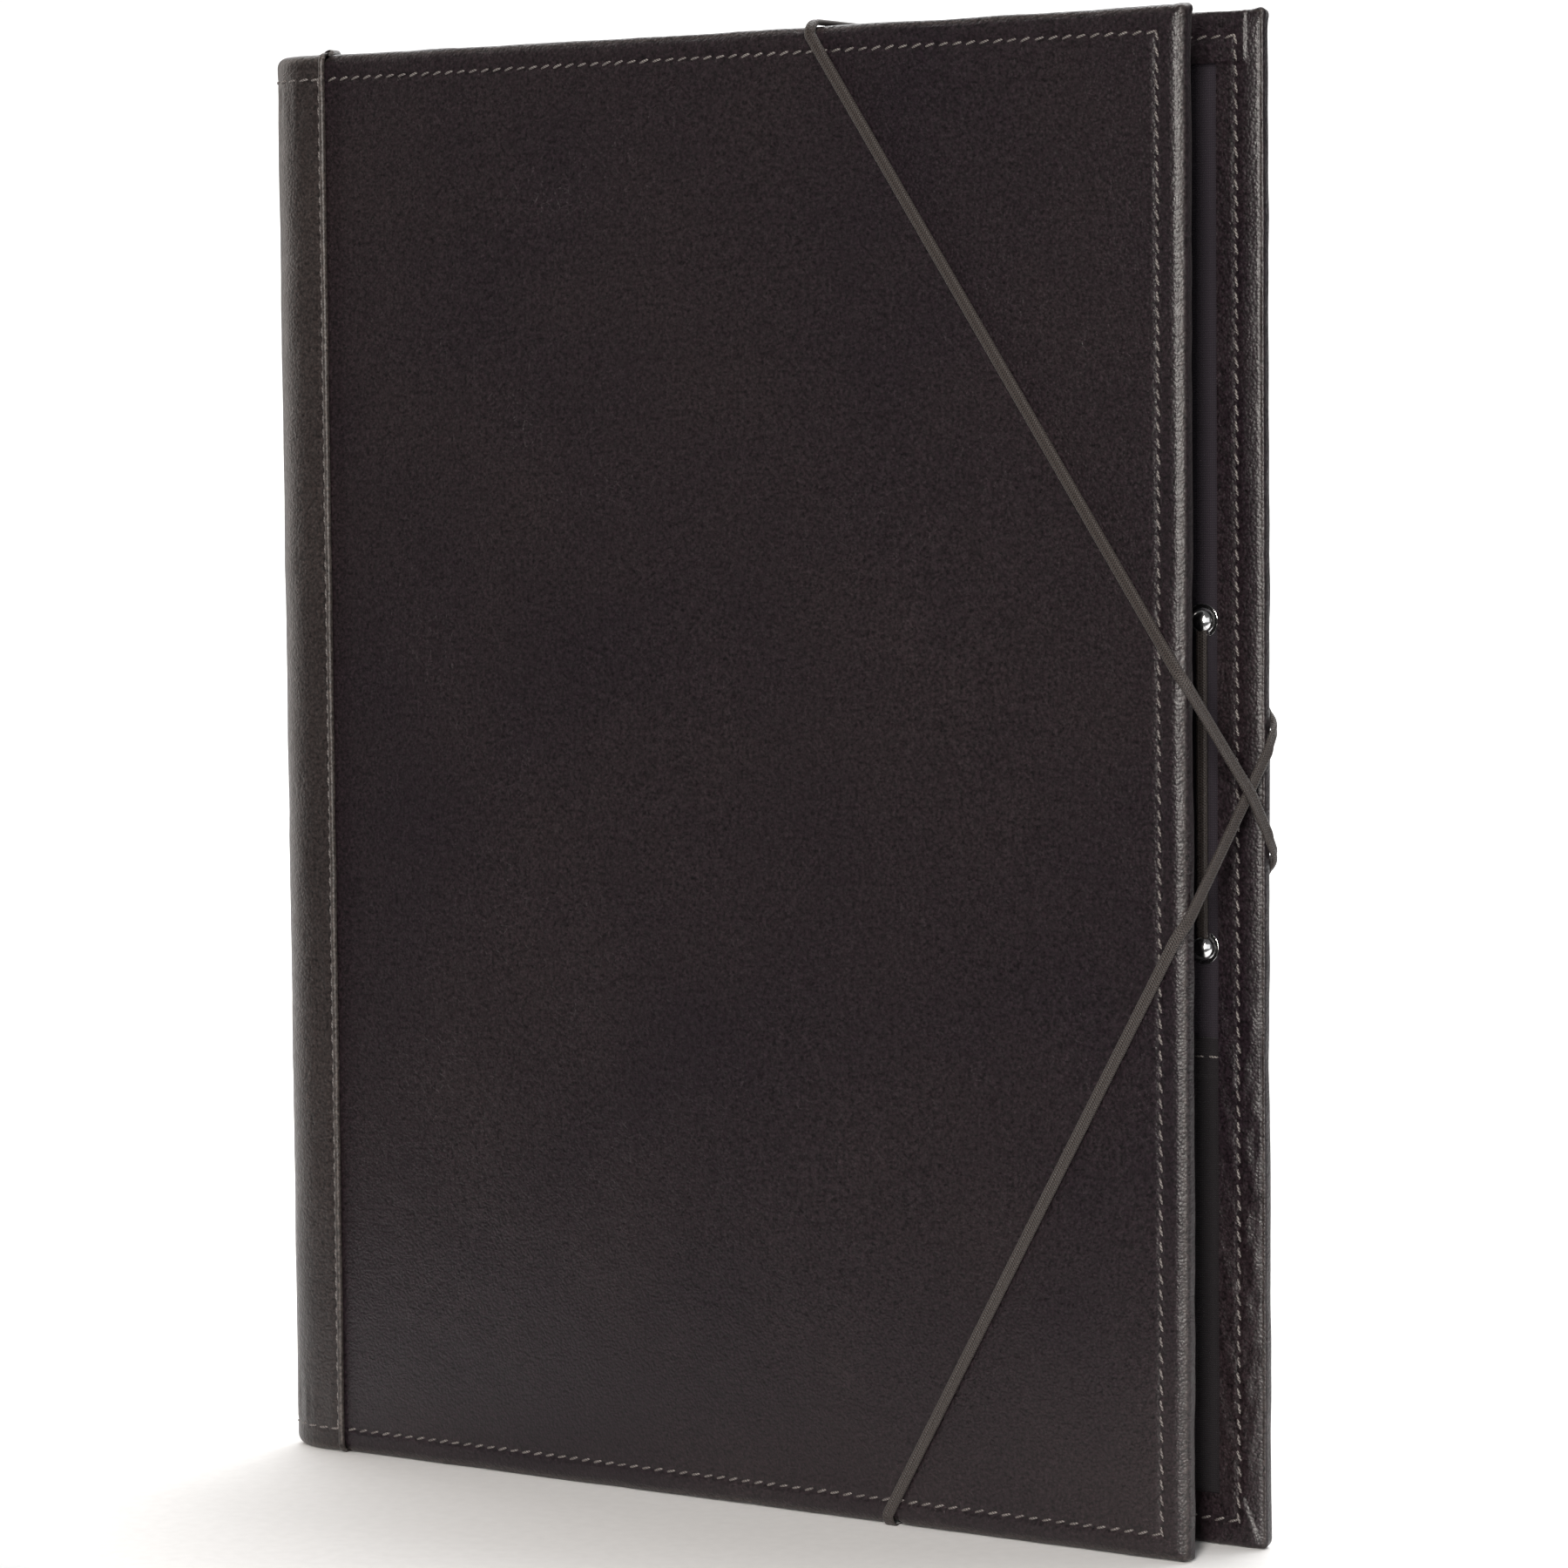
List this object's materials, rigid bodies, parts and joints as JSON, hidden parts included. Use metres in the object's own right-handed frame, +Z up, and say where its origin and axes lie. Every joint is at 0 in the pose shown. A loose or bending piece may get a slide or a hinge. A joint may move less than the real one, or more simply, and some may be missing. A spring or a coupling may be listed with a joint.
{
  "type": "leather document cover",
  "caption": "Padded leather cover for loose sheets, with a wide spine, stitched turned edges, a lined inside with a pocket, and an elastic band that crosses over the fore-edge.",
  "frame": {"origin": "under the middle of the closed cover, on the surface that it stands on", "axes": "+Z up along the spine, +X from the spine to the fore-edge, -Y out of the front cover"},
  "size_m": [0.2485, 0.0283, 0.3214],
  "materials": {
    "leather": "smooth fine grain, satin",
    "spine_leather": "smooth fine grain, satin",
    "lining": "close plain weave, matt",
    "pocket": "close plain weave, matt",
    "board": "pressed fibre board, matt",
    "foam": "soft foam, matt",
    "thread": "waxed twisted thread",
    "eyelet": "bright plated",
    "elastic": "woven round-edged elastic"
  },
  "bodies": {
    "rear_cover": {"rear_board": "board", "rear_padding": "foam", "rear_leather": "leather", "rear_lining": "lining", "rear_thread_outer": "thread", "rear_thread_inner": "thread", "rear_spine_leather": "spine_leather", "rear_hinge_lining": "lining", "rear_seam_thread": "thread", "rear_pocket": "pocket", "rear_pocket_thread": "thread", "eyelet_upper": "eyelet", "eyelet_lower": "eyelet", "eyelet_washers": "eyelet", "elastic_inner": "elastic", "elastic_upper": "elastic", "elastic_lower": "elastic"},
    "spine": {"spine_board": "board", "spine_leather": "spine_leather", "spine_lining": "lining", "spine_thread": "thread"},
    "front_cover": {"front_board": "board", "front_padding": "foam", "front_leather": "leather", "front_lining": "lining", "front_thread_outer": "thread", "front_thread_inner": "thread", "front_spine_leather": "spine_leather", "front_hinge_lining": "lining", "front_seam_thread": "thread"}
  },
  "joints": [
    {"name": "spine_fold", "type": "hinge", "parent": "rear_cover", "child": "spine", "pos_m": [-0.12291, 0.01191, 0], "axis": [0, 0, -1], "range_deg": [0, 90], "deforming": ["elastic_upper", "elastic_lower"]},
    {"name": "front_fold", "type": "hinge", "parent": "spine", "child": "front_cover", "pos_m": [-0.12291, -0.01231, 0], "axis": [0, 0, -1], "range_deg": [0, 90]}
  ],
  "couplings": [
    {"joint": "front_fold", "follows": "spine_fold", "ratio": 1}
  ]
}
